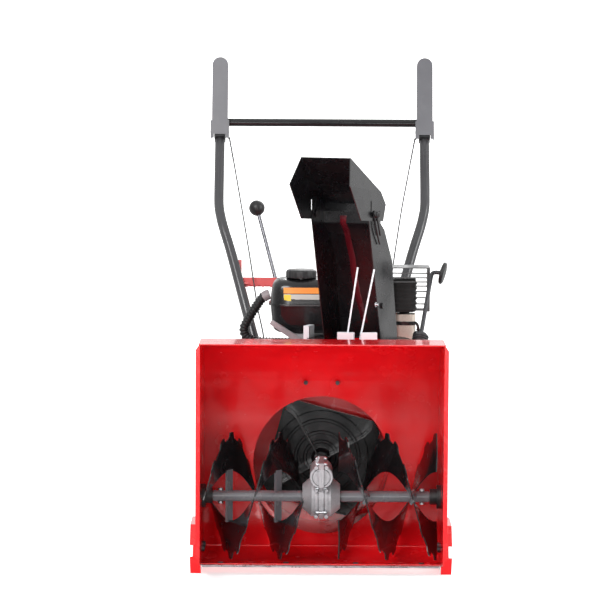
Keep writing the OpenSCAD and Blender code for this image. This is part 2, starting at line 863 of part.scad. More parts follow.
module muffler() {
    color([0.12, 0.12, 0.12]) {
        rounded([168, 228], [522, 590], [571, 652], 12);
        for (z = [578:12:644]) rounded([166, 230], [520, 592], [z, z + 4], 13);
        translate([200, 554 - half_len, 566]) cylinder(h = 6, r = 12);
    }
}

module muffler_guard() {
    x = [152, 260];
    d = [516, 606];
    z = [574, 680];
    bar_w = 8;
    t = 2.5;
    color([0.14, 0.14, 0.15]) {
        block(x, d, [z[1] - t, z[1]]);
        block([x[1] - bar_w, x[1]], [d[0], d[0] + t], z);
        block([x[0], x[0] + 6], [d[0], d[0] + t], [z[1] - 36, z[1]]);
        block([x[1] - t, x[1]], [d[0], d[0] + 14], z);
        block([x[1] - t, x[1]], [d[1] - 14, d[1]], z);
        for (h = [z[0] + 2, z[0] + 17, z[0] + 32, z[0] + 47, z[0] + 60, z[0] + 70, z[0] + 80, z[0] + 91]) {
            block([226, x[1] - bar_w + 1], [d[0], d[0] + t], [h, h + 3]);
            block([x[1] - t, x[1]], [d[0] + 2, d[1] - 10], [h, h + 3]);
        }
        for (h = [z[0] + 70, z[0] + 80, z[0] + 91]) block([x[0] + 4, 230], [d[0], d[0] + t], [h, h + 3]);
        block([228.5, x[1]], [d[0] + 50, d[0] + 68], [z[0], z[0] + t]);
    }
}

module ribbed_hose() {
    color(black) swept(hose_route, 12.5, 12, [0, 1, 0]);
}

// ---- Handles and controls ----

module handle_left() {
    color(black) mirror([1, 0, 0]) swept(handle_route, handle_r, 14);
}

module handle_right() {
    color(black) swept(handle_route, handle_r, 14);
}

module cross_tube() {
    end_x = handle_x - handle_r - 0.3;
    color(black) bar([-end_x, 954.8, 1015.3], [end_x, 954.8, 1015.3], 10);
}

module at_grip(side) {
    translate([side * handle_x, grip_d - half_len, grip_z]) rotate([-grip_lean, 0, 0]) children();
}

module grips() {
    color([0.1, 0.1, 0.1])
        for (side = [-1, 1])
            at_grip(side)
                difference() {
                    translate([0, 0, 34]) cylinder(h = 134, r = 15.5);
                    translate([0, 0, 30]) cylinder(h = 135.3, r = handle_r + 0.1);
                }
}

module lever_brackets() {
    color(black)
        for (side = [-1, 1])
            at_grip(side) {
                difference() {
                    translate([-14, -25, -32]) cube([28, 41, 28]);
                    translate([0, 0, -60]) cylinder(h = 120, r = handle_r + 0.1);
                }
                translate([-24, -19, -18]) rotate([0, 90, 0]) cylinder(h = 48, r = 3);
            }
}

module lever(side) {
    color([0.16, 0.16, 0.17])
        at_grip(side)
            translate([0, -19, -18]) rotate([lever_rest, 0, 0])
                difference() {
                    union() {
                        translate([-20, -11, 0]) cube([40, 18.5, 172]);
                        translate([-23.5, -11, -18]) cube([47, 18.5, 46]);
                        translate([0, 7.5, 172]) rotate([90, 0, 0]) cylinder(h = 18.5, r = 20);
                    }
                    translate([-17.5, -8.5, -1]) cube([35, 30, 173]);
                    translate([-20.8, -8.5, -30]) cube([41.6, 30, 55]);
                    translate([-14.8, -12, -30]) cube([29.6, 6, 22]);
                    translate([0, 30, 172]) rotate([90, 0, 0]) cylinder(h = 38.5, r = 17.5);
                    translate([-40, 0, 0]) rotate([0, 90, 0]) cylinder(h = 80, r = 3.06);
                }
}

module lever_left() { lever(-1); }
module lever_right() { lever(1); }

module cables() {
    color([0.2, 0.2, 0.2]) {
        swept(cable_left, 2.5, 8);
        swept(cable_right, 2.5, 8);
        swept(lead_route, 4, 8, [0, 1, 0]);
    }
}

module speed_panel() {
    color(red)
        difference() {
            union() {
                across(-203, 203, band([[768, 610], [772, 632], [850, 626], [856, 604]], 2.5));
                block([-200, -182], [758, 776], [618, 622]);
                block([182, 200], [758, 776], [618, 622]);
                block([-214, -200], [790, 793], [626, 676]);
                block([-118, -105], [796, 799], [604, 630]);
                block([-118, -105], [823, 826], [604, 628]);
                along_depth(-111.5, 612, 792, 830, 5);
            }
            block([-134, -92], [806, 834], [624, 646]);
            for (x = [-176:20:-116]) along_depth(x, 606, 760, 776, 9);
        }
}

module speed_lever() {
    color([0.75, 0.76, 0.78])
        difference() {
            union() {
                bar(lever_foot, lever_foot + (lever_tip - lever_foot) * 0.93, 4.5);
                along_depth(lever_foot[0], lever_foot[2], 804, 818, 10);
            }
            along_depth(lever_foot[0], lever_foot[2], 790, 830, 5.06);
        }
}

module speed_knob() {
    color(black)
        difference() {
            translate(place(lever_tip)) sphere(r = 20);
            bar(lever_foot, lever_foot + (lever_tip - lever_foot) * 0.935, 4.8);
        }
}

// ---- Assembly ----

housing_sheet();
side_plate_left();
side_plate_right();
impeller_drum();
scraper_bar();
skid_shoe_left();
skid_shoe_right();
housing_bolts();
auger_bearings();
impeller_bearing();
gearbox_half_left();
gearbox_half_right();
gearbox_bolts();
auger_shaft();
worm_wheel();
auger_tubes();
auger_flights_left();
auger_flights_right();
shear_pins();
impeller_shaft();
impeller();
impeller_pulley();
chute_keepers();
chute();
nylon_ties();
deflector();
deflector_nuts();
chute_crank();
crank_knob();
tractor_frame();
belt_cover();
auger_belt();
engine_pulley();
drive_disc();
shift_fork();
friction_wheel();
drive_shaft();
axle();
tyres();
wheel_rims();
engine_block();
cylinder_head();
recoil_cover();
recoil_handle();
fuel_tank();
fuel_cap();
muffler();
muffler_guard();
ribbed_hose();
handle_left();
handle_right();
cross_tube();
grips();
lever_brackets();
lever_left();
lever_right();
cables();
speed_panel();
speed_lever();
speed_knob();
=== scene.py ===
import json
import math

import bmesh
import bpy
from mathutils import Matrix, Vector
from mathutils.geometry import tessellate_polygon


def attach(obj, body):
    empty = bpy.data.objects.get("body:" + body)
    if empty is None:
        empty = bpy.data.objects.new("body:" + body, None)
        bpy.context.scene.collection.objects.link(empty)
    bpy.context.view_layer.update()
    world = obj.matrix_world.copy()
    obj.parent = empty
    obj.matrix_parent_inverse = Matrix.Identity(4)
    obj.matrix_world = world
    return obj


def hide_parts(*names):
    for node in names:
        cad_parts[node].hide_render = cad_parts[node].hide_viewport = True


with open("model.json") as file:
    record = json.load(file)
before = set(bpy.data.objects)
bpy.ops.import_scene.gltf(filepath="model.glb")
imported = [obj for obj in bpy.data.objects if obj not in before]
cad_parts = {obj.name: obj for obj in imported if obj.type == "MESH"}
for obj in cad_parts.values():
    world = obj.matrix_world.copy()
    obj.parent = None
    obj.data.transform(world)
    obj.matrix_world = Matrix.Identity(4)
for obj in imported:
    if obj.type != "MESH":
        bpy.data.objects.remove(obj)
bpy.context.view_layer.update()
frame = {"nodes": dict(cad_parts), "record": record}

MM = 0.001
HALF_LEN = 518.0  # the frame's origin lies this far behind the intake's front, in mm
BODIES = frame["record"]["behaviour"]["bodies"]
BODY_OF = {node: body for body, nodes in BODIES.items() for node in nodes}
SLOT_OF = {row["node"]: row["material_slot"] for row in frame["record"]["subparts"]}


def pt(p):
    """A point given as [x, depth, height] in mm, in the shared frame in metres."""
    return Vector((p[0] * MM, (p[1] - HALF_LEN) * MM, p[2] * MM))


# ---- Camera and light ----

CAMERA_LENS, SENSOR_WIDTH, FAR_CLIP = 167.26, 36.0, 60.0
CAMERA_AT = (-0.0232, -6.6828, 1.1961)
CAMERA_TURN, CAMERA_TIP, CAMERA_ROLL = 0.2509, 5.095, 0.297  # degrees
ROOM_DIM, ROOM_BRIGHT = 0.24, 0.95
ROOM_LIFT, ROOM_FROM, ROOM_TO = 0.9, -0.85, 0.45


def camera():
    data = bpy.data.cameras.new("camera")
    data.lens, data.sensor_width, data.clip_end = CAMERA_LENS, SENSOR_WIDTH, FAR_CLIP
    cam = bpy.data.objects.new("camera", data)
    bpy.context.collection.objects.link(cam)
    turn = Matrix.Rotation(math.radians(CAMERA_TURN), 4, "Z")
    tip = Matrix.Rotation(math.radians(90.0 - CAMERA_TIP), 4, "X")
    roll = Matrix.Rotation(math.radians(CAMERA_ROLL), 4, "Z")
    cam.matrix_world = Matrix.Translation(CAMERA_AT) @ turn @ tip @ roll
    bpy.context.scene.camera = cam


def area_light(name, at, aim, size, power):
    data = bpy.data.lights.new(name, "AREA")
    data.shape = "RECTANGLE"
    data.size, data.size_y = size
    data.energy = power
    lamp = bpy.data.objects.new(name, data)
    lamp.location = at
    lamp.rotation_euler = (Vector(aim) - Vector(at)).to_track_quat("-Z", "Y").to_euler()
    bpy.context.collection.objects.link(lamp)


def dim_in_front(tree, low, high):
    """A room that is dim on the viewer's side and bright behind and above the machine."""
    where = tree.nodes.new("ShaderNodeTexCoord")
    parts = tree.nodes.new("ShaderNodeSeparateXYZ")
    tree.links.new(where.outputs["Generated"], parts.inputs["Vector"])
    lift = tree.nodes.new("ShaderNodeMath")
    lift.operation = "MULTIPLY_ADD"
    lift.inputs[1].default_value = ROOM_LIFT
    tree.links.new(parts.outputs["Z"], lift.inputs[0])
    tree.links.new(parts.outputs["Y"], lift.inputs[2])
    scale = tree.nodes.new("ShaderNodeMapRange")
    scale.interpolation_type = "SMOOTHSTEP"
    scale.inputs["From Min"].default_value = ROOM_FROM
    scale.inputs["From Max"].default_value = ROOM_TO
    scale.inputs["To Min"].default_value = low
    scale.inputs["To Max"].default_value = high
    tree.links.new(lift.outputs["Value"], scale.inputs["Value"])
    tree.links.new(scale.outputs["Result"], tree.nodes["Background"].inputs["Strength"])


camera()
world = bpy.data.worlds.new("studio")
bpy.context.scene.world = world
world.use_nodes = True
world.node_tree.nodes["Background"].inputs["Color"].default_value = (1, 1, 1, 1)
dim_in_front(world.node_tree, ROOM_DIM, ROOM_BRIGHT)
area_light("key", (-1.7, -3.4, 2.9), (0, 0, 0.45), (1.6, 1.6), 100)
area_light("side", (3.2, -1.2, 1.7), (0, 0, 0.6), (1.2, 2.4), 60)
area_light("strip", (-0.9, -4.2, 1.3), (0, 0, 0.4), (0.35, 2.4), 26)
area_light("low", (0.3, -3.6, 0.5), (0, -0.3, 0.2), (2.4, 0.5), 22)
area_light("back", (0.8, 3.2, 2.6), (0, 0, 0.6), (2.5, 1.5), 60)
bpy.context.scene.view_settings.view_transform = "Standard"


# ---- Materials ----

class Nodes:
    """Short names for building a material's node tree."""

    def __init__(self, name):
        self.material = bpy.data.materials.new(name)
        self.material.use_nodes = True
        self.tree = self.material.node_tree
        self.shader = self.tree.nodes["Principled BSDF"]
        self.where = self.add("ShaderNodeTexCoord").outputs["Object"]

    def add(self, kind, **values):
        node = self.tree.nodes.new(kind)
        for key, value in values.items():
            if key in node.inputs:
                node.inputs[key].default_value = value
            else:
                setattr(node, key, value)
        return node

    def link(self, a, b):
        self.tree.links.new(a, b)

    def noise(self, scale, detail=4.0, stretch=None):
        node = self.add("ShaderNodeTexNoise", Scale=scale, Detail=detail)
        where = self.where
        if stretch:
            mapping = self.add("ShaderNodeMapping", Scale=stretch)
            self.link(where, mapping.inputs["Vector"])
            where = mapping.outputs["Vector"]
        self.link(where, node.inputs["Vector"])
        return node.outputs["Fac"]

    def ramp(self, fac, low, high):
        node = self.add("ShaderNodeMapRange")
        node.inputs["From Min"].default_value, node.inputs["From Max"].default_value = low
        node.inputs["To Min"].default_value, node.inputs["To Max"].default_value = high
        self.link(fac, node.inputs["Value"])
        return node.outputs["Result"]

    def mix(self, fac, a, b):
        node = self.add("ShaderNodeMix", data_type="RGBA")
        self.link(fac, node.inputs["Factor"])
        for socket, value in ((node.inputs[6], a), (node.inputs[7], b)):
            if isinstance(value, tuple):
                socket.default_value = (*value, 1.0)
            else:
                self.link(value, socket)
        return node.outputs[2]

    def edges(self, radius):
        """1 where the surface bends within radius, 0 on the flat."""
        bevel = self.add("ShaderNodeBevel", samples=3)
        bevel.inputs["Radius"].default_value = radius
        normal = self.add("ShaderNodeNewGeometry").outputs["Normal"]
        dot = self.add("ShaderNodeVectorMath", operation="DOT_PRODUCT")
        self.link(bevel.outputs["Normal"], dot.inputs[0])
        self.link(normal, dot.inputs[1])
        return self.ramp(dot.outputs["Value"], (0.985, 0.90), (0.0, 1.0))

    def bump(self, height, strength, distance):
        node = self.add("ShaderNodeBump", Strength=strength, Distance=distance)
        self.link(height, node.inputs["Height"])
        self.link(node.outputs["Normal"], self.shader.inputs["Normal"])

    def set(self, **values):
        for key, value in values.items():
            self.shader.inputs[key.replace("_", " ")].default_value = value


def painted(name, colour, shade, worn, rough, coat, wear_amount=0.5, bump=0.05):
    n = Nodes(name)
    broad = n.noise(6.0, 3.0)
    base = n.mix(n.ramp(broad, (0.35, 0.65), (0.0, 1.0)), colour, shade)
    dust = n.ramp(n.noise(38.0, 6.0), (0.58, 0.8), (0.0, 0.16))
    base = n.mix(dust, base, tuple(0.8 * c + 0.05 for c in colour))
    patchy = n.ramp(n.noise(160.0, 5.0), (0.42, 0.7), (0.0, wear_amount))
    mask = n.add("ShaderNodeMath", operation="MULTIPLY")
    n.link(n.edges(0.0012), mask.inputs[0])
    n.link(patchy, mask.inputs[1])
    n.link(n.mix(mask.outputs[0], base, worn), n.shader.inputs["Base Color"])
    n.link(n.ramp(n.noise(22.0, 5.0), (0.3, 0.7), rough), n.shader.inputs["Roughness"])
    n.bump(n.noise(420.0, 2.0), bump, 0.0006)
    n.set(Coat_Weight=coat, Coat_Roughness=0.06, Specular_IOR_Level=0.4)
    return n.material


def moulded(name, colour, shade, rough, grain=650.0, bump=0.12, coat=0.0):
    n = Nodes(name)
    base = n.mix(n.ramp(n.noise(9.0, 4.0), (0.3, 0.7), (0.0, 1.0)), colour, shade)
    dust = n.ramp(n.noise(55.0, 6.0), (0.55, 0.85), (0.0, 0.35))
    n.link(n.mix(dust, base, tuple(c + 0.06 for c in colour)), n.shader.inputs["Base Color"])
    n.link(n.ramp(n.noise(30.0, 5.0), (0.3, 0.7), rough), n.shader.inputs["Roughness"])
    n.bump(n.noise(grain, 3.0), bump, 0.0005)
    n.set(Coat_Weight=coat)
    return n.material


def metal(name, colour, shade, rough, stretch=(1, 1, 1), scale=180.0, bump=0.15, metallic=1.0):
    n = Nodes(name)
    streak = n.noise(scale, 5.0, stretch)
    base = n.mix(n.ramp(streak, (0.35, 0.65), (0.0, 1.0)), colour, shade)
    stain = n.ramp(n.noise(14.0, 5.0), (0.5, 0.8), (0.0, 0.45))
    n.link(n.mix(stain, base, tuple(0.55 * c for c in shade)), n.shader.inputs["Base Color"])
    n.link(n.ramp(n.noise(40.0, 4.0), (0.3, 0.7), rough), n.shader.inputs["Roughness"])
    n.bump(streak, bump, 0.0006)
    n.set(Metallic=metallic)
    return n.material


FINISH = {
    "red_paint": painted("red_paint", (0.78, 0.006, 0.010), (0.66, 0.004, 0.008),
                         (0.86, 0.16, 0.13), (0.16, 0.30), 0.7),
    "black_paint": painted("black_paint", (0.006, 0.006, 0.007), (0.011, 0.011, 0.012),
                           (0.12, 0.12, 0.12), (0.16, 0.30), 0.25, 0.3),
    "black_plastic": moulded("black_plastic", (0.008, 0.008, 0.009), (0.016, 0.016, 0.017), (0.34, 0.52)),
    "zinc_steel": metal("zinc_steel", (0.66, 0.67, 0.69), (0.52, 0.53, 0.56), (0.22, 0.42), (1, 8, 1)),
    "cast_alloy": metal("cast_alloy", (0.40, 0.38, 0.40), (0.30, 0.29, 0.30), (0.36, 0.52),
                        scale=520.0, bump=0.3, metallic=0.35),
    "bronze": metal("bronze", (0.62, 0.42, 0.20), (0.46, 0.30, 0.13), (0.25, 0.45)),
    "white_nylon": moulded("white_nylon", (0.80, 0.83, 0.87), (0.72, 0.76, 0.80), (0.35, 0.5), 300.0, 0.05),
    "black_rubber": moulded("black_rubber", (0.022, 0.022, 0.024), (0.036, 0.036, 0.038),
                            (0.34, 0.50), 380.0, 0.18),
    "tyre_rubber": moulded("tyre_rubber", (0.018, 0.018, 0.018), (0.038, 0.036, 0.034),
                           (0.62, 0.85), 260.0, 0.35),
    "rim_paint": painted("rim_paint", (0.72, 0.72, 0.70), (0.64, 0.64, 0.62),
                         (0.45, 0.43, 0.40), (0.25, 0.4), 0.3),
}
DARK_METAL = metal("dark_metal", (0.09, 0.09, 0.095), (0.05, 0.05, 0.055), (0.35, 0.6),
                   scale=260.0, metallic=0.8)
GUARD_BLACK = painted("guard_black", (0.03, 0.03, 0.032), (0.05, 0.05, 0.052),
                      (0.3, 0.29, 0.28), (0.3, 0.5), 0.2)
CHROME = metal("chrome", (0.20, 0.20, 0.22), (0.15, 0.15, 0.16), (0.22, 0.34), scale=90.0, bump=0.03)
SHAFT_GREY = painted("shaft_grey", (0.10, 0.10, 0.11), (0.13, 0.13, 0.14),
                     (0.3, 0.3, 0.31), (0.18, 0.32), 0.5, 0.7)
# A paler red for the speed panel: painted light, the washed-out look of its brightly lit face put into the
# colour.
PANEL_RED_PAINTED_LIGHT = painted("panel_red_painted_light", (0.62, 0.085, 0.085), (0.54, 0.06, 0.06),
                    (0.8, 0.3, 0.28), (0.3, 0.45), 0.3)
# Dark red for the chute's rolled fold: a painted reflection of the red housing on the black steel wall.
FOLD_PAINTED_RED_REFLECTION = painted("fold_painted_red_reflection", (0.085, 0.006, 0.010), (0.06, 0.004, 0.008),
                   (0.2, 0.06, 0.06), (0.2, 0.3), 0.5, 0.2)
SHEET_BLACK = painted("sheet_black", (0.004, 0.004, 0.005), (0.008, 0.008, 0.009),
                      (0.10, 0.10, 0.10), (0.20, 0.34), 0.0, 0.3)
SHEET_BLACK.node_tree.nodes["Principled BSDF"].inputs["Specular IOR Level"].default_value = 0.62
MUFFLER_BLACK = painted("muffler_black", (0.008, 0.008, 0.008), (0.014, 0.013, 0.013),
                        (0.10, 0.09, 0.09), (0.5, 0.65), 0.0, 0.3)
# A lifted black for the handle tubes: painted sheen, an even lift of the colour that stands in for their
# highlights.
TUBE_BLACK_PAINTED_SHEEN = painted("tube_black_painted_sheen", (0.040, 0.040, 0.043), (0.050, 0.050, 0.053),
                     (0.2, 0.2, 0.2), (0.16, 0.30), 0.25, 0.3)
# Mid grey for the black grips and levers: painted sheen, an even lift of the colour that stands in for their
# glossy highlights.
GRIP_GREY_PAINTED_SHEEN = moulded("grip_grey_painted_sheen", (0.105, 0.105, 0.115), (0.135, 0.135, 0.145), (0.32, 0.46), 380.0, 0.15)
FITTING_GREY = moulded("fitting_grey", (0.26, 0.22, 0.23), (0.22, 0.19, 0.20), (0.35, 0.5), bump=0.05)
WARM_CAST = metal("warm_cast", (0.70, 0.64, 0.56), (0.56, 0.50, 0.43), (0.45, 0.65),
                  scale=480.0, bump=0.35, metallic=0.4)
ORANGE = moulded("orange_label", (0.80, 0.27, 0.02), (0.72, 0.22, 0.02), (0.3, 0.4), bump=0.02)
YELLOW = moulded("yellow_label", (0.75, 0.55, 0.02), (0.66, 0.48, 0.02), (0.3, 0.4), bump=0.02)
PALE = moulded("pale_label", (0.50, 0.49, 0.45), (0.42, 0.41, 0.38), (0.35, 0.5), bump=0.02)


# ---- Mesh helpers ----

BEVEL_ANGLE = 30  # degrees, above which an edge is rounded


def finish_mesh(bm, name, slot, body, replaces=(), bevel=0.0, segs=2, sharp=38.0, paint=None):
    """Turns a bmesh in metres into a piece: sharp edges bevelled, the rest smooth."""
    bmesh.ops.recalc_face_normals(bm, faces=bm.faces[:])
    if bevel:
        corners = [e for e in bm.edges
                   if len(e.link_faces) == 2 and e.calc_face_angle(0.0) > math.radians(BEVEL_ANGLE)]
        bmesh.ops.bevel(bm, geom=corners, offset=bevel * MM, segments=segs, profile=0.5, affect="EDGES",
                        clamp_overlap=True)
    for face in bm.faces:
        face.smooth = True
    for edge in bm.edges:
        edge.smooth = not (len(edge.link_faces) == 2 and edge.calc_face_angle(0.0) > math.radians(sharp))
    mesh = bpy.data.meshes.new(name)
    bm.to_mesh(mesh)
    bm.free()
    mesh.materials.append(paint or FINISH[slot])
    piece = bpy.data.objects.new(name, mesh)
    bpy.context.collection.objects.link(piece)
    normals = piece.modifiers.new("normals", "WEIGHTED_NORMAL")
    normals.keep_sharp = True
    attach(piece, body)
    if replaces:
        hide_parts(*replaces)
    return piece


class Shape:
    """Collects solids, given in mm as [x, depth, height], into one mesh."""

    def __init__(self, frame_of=None):
        self.bm = bmesh.new()
        self.at = frame_of or Matrix.Identity(4)

    def add(self, verts, faces):
        made = [self.bm.verts.new(pt(self.at @ Vector(v))) for v in verts]
        for face in faces:
            try:
                self.bm.faces.new([made[i] for i in face])
            except ValueError:
                pass
        return self

    def box(self, x, d, z):
        v = [(a, b, c) for a in x for b in d for c in z]
        return self.add(v, [(0, 1, 3, 2), (4, 6, 7, 5), (0, 4, 5, 1),
                            (2, 3, 7, 6), (0, 2, 6, 4), (1, 5, 7, 3)])

    def slab(self, outline, lo, hi, axis="x", holes=()):
        """A flat outline with holes, thickened along an axis from lo to hi."""
        put = {"x": lambda u, v, w: (w, u, v),
               "y": lambda u, v, w: (u, w, v),
               "z": lambda u, v, w: (u, v, w)}[axis]
        loops = [list(outline)] + [list(h) for h in holes]
        flat = [p for loop in loops for p in loop]
        tris = tessellate_polygon([[Vector((p[0], p[1], 0)) for p in loop] for loop in loops])
        n = len(flat)
        verts = [put(p[0], p[1], lo) for p in flat] + [put(p[0], p[1], hi) for p in flat]
        faces = [tuple(t) for t in tris] + [tuple(n + i for i in reversed(t)) for t in tris]
        start = 0
        for loop in loops:
            m = len(loop)
            for i in range(m):
                a, b = start + i, start + (i + 1) % m
                faces.append((a, b, n + b, n + a))
            start += m
        return self.add(verts, faces)

    def lathe(self, profile, origin, axis, sides=48, wave=None):
        """Revolves a profile of (radius, distance) points round an axis."""
        d = Vector(axis).normalized()
        u = d.orthogonal().normalized()
        w = d.cross(u)
        o = Vector(origin)
        verts, faces = [], []
        for k in range(sides):
            a = 2 * math.pi * k / sides
            for r, h in profile:
                rr = r * (wave(a, r, h) if wave else 1.0)
                verts.append(o + d * h + (u * math.cos(a) + w * math.sin(a)) * rr)
        m = len(profile)
        for k in range(sides):
            for i in range(m - 1):
                a, b = k * m + i, ((k + 1) % sides) * m + i
                faces.append((a, b, b + 1, a + 1))
        for i in (0, m - 1):
            if profile[i][0] > 1e-6:
                faces.append([k * m + i for k in range(sides)])
        return self.add(verts, faces)

    def ring(self, profile, origin, axis, sides):
        """Revolves a closed profile, which leaves the middle open."""
        d = Vector(axis).normalized()
        u = d.orthogonal().normalized()
        w = d.cross(u)
        o = Vector(origin)
        m = len(profile)
        verts, faces = [], []
        for k in range(sides):
            a = 2 * math.pi * k / sides
            for r, h in profile:
                verts.append(o + d * h + (u * math.cos(a) + w * math.sin(a)) * r)
        for k in range(sides):
            for i in range(m):
                a, b = k * m, ((k + 1) % sides) * m
                faces.append((a + i, b + i, b + (i + 1) % m, a + (i + 1) % m))
        return self.add(verts, faces)

    def tube(self, route, radius, sides=20, steps=6, rib=None):
        """A round tube along a smooth curve through the route's points."""
        path = smooth_route(route, steps)
        if rib:
            path = even_route(path, rib)
        verts, faces = [], []
        u = None
        last = len(path) - 1
        for i, p in enumerate(path):
            t = (path[min(i + 1, last)] - path[max(i - 1, 0)]).normalized()
            u = (u - t * u.dot(t)).normalized() if u is not None else t.orthogonal().normalized()
            w = t.cross(u)
            r = radius(i, last) if callable(radius) else radius
            verts += [p + (u * math.cos(2 * math.pi * k / sides) + w * math.sin(2 * math.pi * k / sides)) * r
                      for k in range(sides)]
        for i in range(last):
            for k in range(sides):
                a, b = i * sides + k, i * sides + (k + 1) % sides
                faces.append((a, b, b + sides, a + sides))
        faces.append(list(range(sides)))
        faces.append([last * sides + k for k in range(sides)])
        return self.add(verts, faces)

    def hexagon(self, origin, axis, across, height):
        """A bolt head or nut with a washer face and a chamfered top."""
        r = across / 2 / math.cos(math.pi / 6)
        return self.lathe([(r * 1.12, 0), (r * 1.12, height * 0.14), (r, height * 0.15), (r, height * 0.85),
                           (r * 0.86, height), (0, height)], origin, axis, 6)

    def tidy(self, dissolve=False):
        bmesh.ops.remove_doubles(self.bm, verts=self.bm.verts[:], dist=1e-6)
        if dissolve:
            bmesh.ops.dissolve_limit(self.bm, angle_limit=math.radians(1.0), verts=self.bm.verts[:],
                                     edges=self.bm.edges[:])
        return self

    def piece(self, name, slot, body, *replaces, dissolve=True, **how):
        self.tidy(dissolve)
        return finish_mesh(self.bm, name, slot, body, replaces, **how)


def smooth_route(route, steps):
    """Catmull-Rom points through a route."""
    p = [Vector(q) for q in route]
    p = [2 * p[0] - p[1]] + p + [2 * p[-1] - p[-2]]
    out = []
    for i in range(1, len(p) - 2):
        for s in range(steps):
            t = s / steps
            out.append(0.5 * ((2 * p[i]) + (p[i + 1] - p[i - 1]) * t
                              + (2 * p[i - 1] - 5 * p[i] + 4 * p[i + 1] - p[i + 2]) * t * t
                              + (3 * p[i] - p[i - 1] - 3 * p[i + 1] + p[i + 2]) * t ** 3))
    return out + [p[-2]]


def even_route(path, gap):
    """The same route with its points a fixed distance apart."""
    out, carry = [path[0]], 0.0
    for a, b in zip(path, path[1:]):
        length = (b - a).length
        s = gap - carry
        while s <= length:
            out.append(a.lerp(b, s / length))
            s += gap
        carry = length - (s - gap)
    return out


def arc(cx, cy, r, start, end, steps):
    angles = [math.radians(start + (end - start) * i / steps) for i in range(steps + 1)]
    return [(cx + r * math.cos(a), cy + r * math.sin(a)) for a in angles]


def soften(node, width, segs=2, paint=None):
    """A CAD node's own shape with its edges rounded over."""
    bm = bmesh.new()
    bm.from_mesh(frame["nodes"][node].data)
    bmesh.ops.remove_doubles(bm, verts=bm.verts[:], dist=1e-6)
    bmesh.ops.dissolve_limit(bm, angle_limit=math.radians(1.5), verts=bm.verts[:], edges=bm.edges[:])
    return finish_mesh(bm, node + "_fine", SLOT_OF[node], BODY_OF[node], (node,), width, segs, paint=paint)


def keep(node):
    """A CAD node whose shape stays, with its finish."""
    obj = frame["nodes"][node]
    obj.data.materials.clear()
    obj.data.materials.append(FINISH[SLOT_OF[node]])


REPLACED = set()


def done(*nodes):
    REPLACED.update(nodes)


# ---- Augers, impeller and gearbox ----

AUGER_D, AUGER_Z = 155.0, 182.0
IMPELLER_Z = 235.0
FLIGHT_STEPS, FLIGHT_PITCH, FLIGHT_START = 144, 224.0, 40.0
FLIGHT_RIM, FLIGHT_MID, FLIGHT_INNER = 145.6, 102.0, 56.5
TOOTH = (0, 1.5, 12, 14.5, 14.5, 14.5, 14.5, 14.5, 12, 1.5, 0, 0)  # how far the rim steps in, round a tooth
HALF_SHEET, BOW = 1.3, 1.6


def auger_flights():
    """Two toothed ribbons a side, smooth along their length, with a slight bow across."""
    for node, side, turns in (("auger_flights_right", 1, (80, -92)), ("auger_flights_left", -1, (-5, 175))):
        s = Shape()
        for turn0 in turns:
            verts, faces = [], []
            for i in range(FLIGHT_STEPS + 1):
                a = math.radians(turn0 + 360 * i / FLIGHT_STEPS)
                x = FLIGHT_START + FLIGHT_PITCH * i / FLIGHT_STEPS
                rim = FLIGHT_RIM - TOOTH[i % 12]
                section = ((FLIGHT_INNER, -HALF_SHEET, 0), (FLIGHT_MID, -HALF_SHEET, BOW),
                           (rim, -HALF_SHEET, 0), (rim, HALF_SHEET, 0),
                           (FLIGHT_MID, HALF_SHEET, BOW), (FLIGHT_INNER, HALF_SHEET, 0))
                for r, t, b in section:
                    verts.append((side * (x + t + b), AUGER_D + r * math.cos(a), AUGER_Z + r * math.sin(a)))
            m = len(section)
            for i in range(FLIGHT_STEPS):
                for k in range(m):
                    p, q = i * m + k, i * m + (k + 1) % m
                    faces.append((p, q, q + m, p + m))
            faces.append(list(range(m)))
            faces.append([FLIGHT_STEPS * m + k for k in range(m)])
            s.add(verts, faces)
        s.piece(node + "_fine", "black_paint", "auger", node, dissolve=False, sharp=30)
        done(node)


